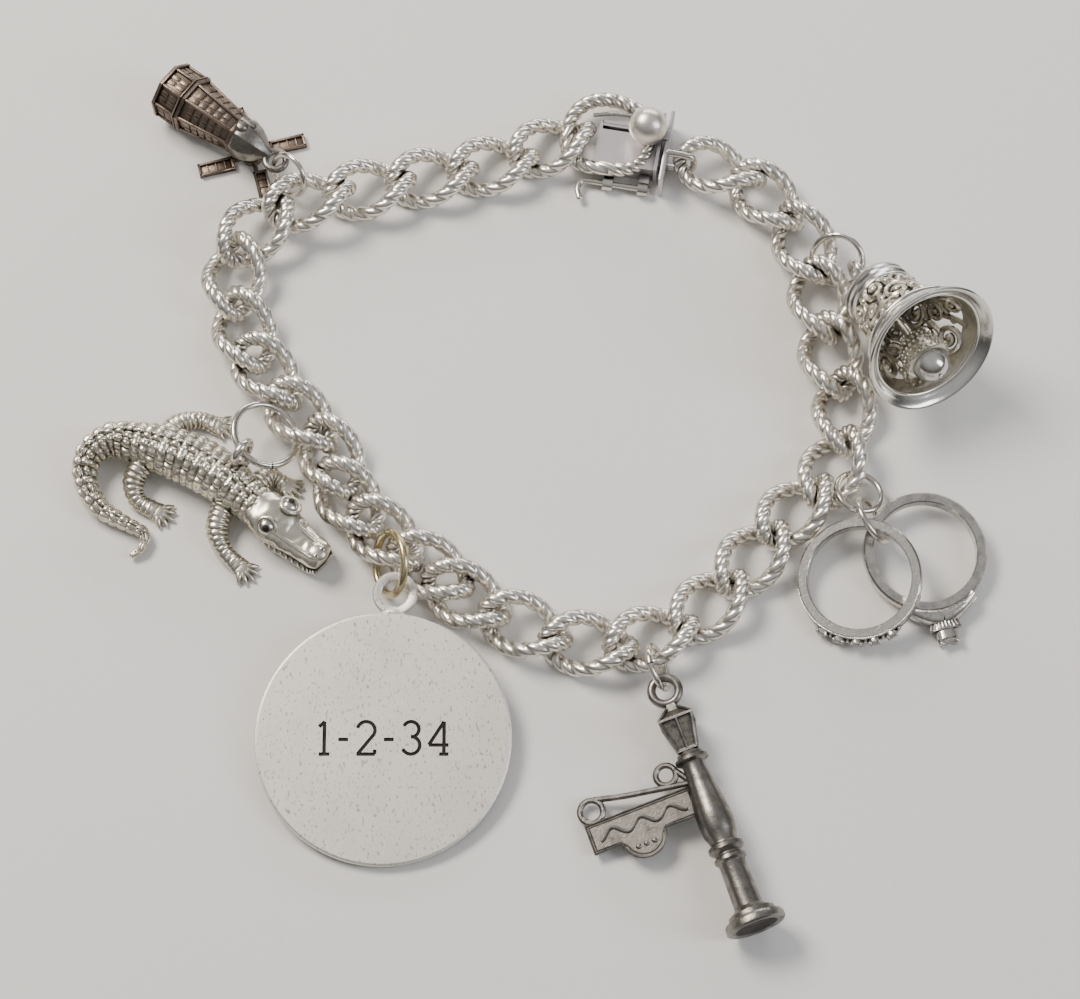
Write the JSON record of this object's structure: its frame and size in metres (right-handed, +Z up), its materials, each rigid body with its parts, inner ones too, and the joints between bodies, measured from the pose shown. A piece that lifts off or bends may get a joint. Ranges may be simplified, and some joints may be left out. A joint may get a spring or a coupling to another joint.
{
  "type": "charm bracelet",
  "caption": "Curb-link charm bracelet laid out flat in a loop: box clasp and safety catch, and windmill, alligator, round tag, lamp post, wedding ring and bell charms on jump rings.",
  "frame": {"origin": "centre of the bracelet's footprint on the surface that it lies on", "axes": "+Z up from that surface, +X to the right and +Y away from the wearer's side as laid out, with the clasp at +Y and the round tag and lamp post at -Y"},
  "size_m": [0.0896, 0.0906, 0.0153],
  "materials": {
    "silver_chain": "fine rope-textured silver wire, bright on the high facets and grey in the grooves",
    "silver_rings": "polished silver wire and bands",
    "gilt_ring": "silver ring with a warm yellowed tone",
    "silver_clasp": "satin silver plate with rope-textured bezel and a polished thumb ball",
    "tarnished_silver": "cast silver darkened brown-black in its hollows, worn bright on its edges",
    "antiqued_silver": "cast silver with dark hollows and bright high spots",
    "satin_silver": "satin silver sheet with fine specks and a bright thin edge",
    "clear_stone": "clear cut stone"
  },
  "bodies": {
    "bracelet": {"link_01": "silver_chain", "link_02": "silver_chain", "link_03": "silver_chain", "link_04": "silver_chain", "link_05": "silver_chain", "link_06": "silver_chain", "link_07": "silver_chain", "link_08": "silver_chain", "link_09": "silver_chain", "link_10": "silver_chain", "link_11": "silver_chain", "link_12": "silver_chain", "link_13": "silver_chain", "link_14": "silver_chain", "link_15": "silver_chain", "link_16": "silver_chain", "link_17": "silver_chain", "link_18": "silver_chain", "link_19": "silver_chain", "link_20": "silver_chain", "link_21": "silver_chain", "link_22": "silver_chain", "link_23": "silver_chain", "link_24": "silver_chain", "link_25": "silver_chain", "link_26": "silver_chain", "link_27": "silver_chain", "link_28": "silver_chain", "jump_ring_windmill": "silver_rings", "jump_ring_alligator": "silver_rings", "jump_ring_disc": "gilt_ring", "jump_ring_lamp_post": "silver_rings", "jump_ring_wedding_set": "silver_rings", "ring_connector": "silver_rings", "jump_ring_bell": "silver_rings", "clasp_box": "silver_clasp", "clasp_tongue": "silver_clasp", "windmill_body": "tarnished_silver", "alligator": "antiqued_silver", "disc": "satin_silver", "lamp_post": "tarnished_silver", "wedding_ring": "silver_rings", "engagement_ring": "silver_rings", "solitaire_stone": "clear_stone", "bell": "antiqued_silver"},
    "sails": {"windmill_sails": "tarnished_silver"},
    "clapper": {"bell_clapper": "antiqued_silver"},
    "catch": {"safety_catch": "silver_rings"}
  },
  "joints": [
    {"name": "sails_spin", "type": "hinge", "parent": "bracelet", "child": "sails", "pos_m": [-0.0287, 0.03672, 0.00035], "axis": [0, 0, 1], "continuous": true},
    {"name": "clapper_swing", "type": "hinge", "parent": "bracelet", "child": "clapper", "pos_m": [0.03463, 0.01832, 0.00463], "axis": [-0.891, -0.454, 0], "range_deg": [0, 30]},
    {"name": "catch_lift", "type": "hinge", "parent": "bracelet", "child": "catch", "pos_m": [0.00851, 0.03305, 0.00085], "axis": [-0.9848, 0.1736, 0], "range_deg": [0, 100]}
  ]
}
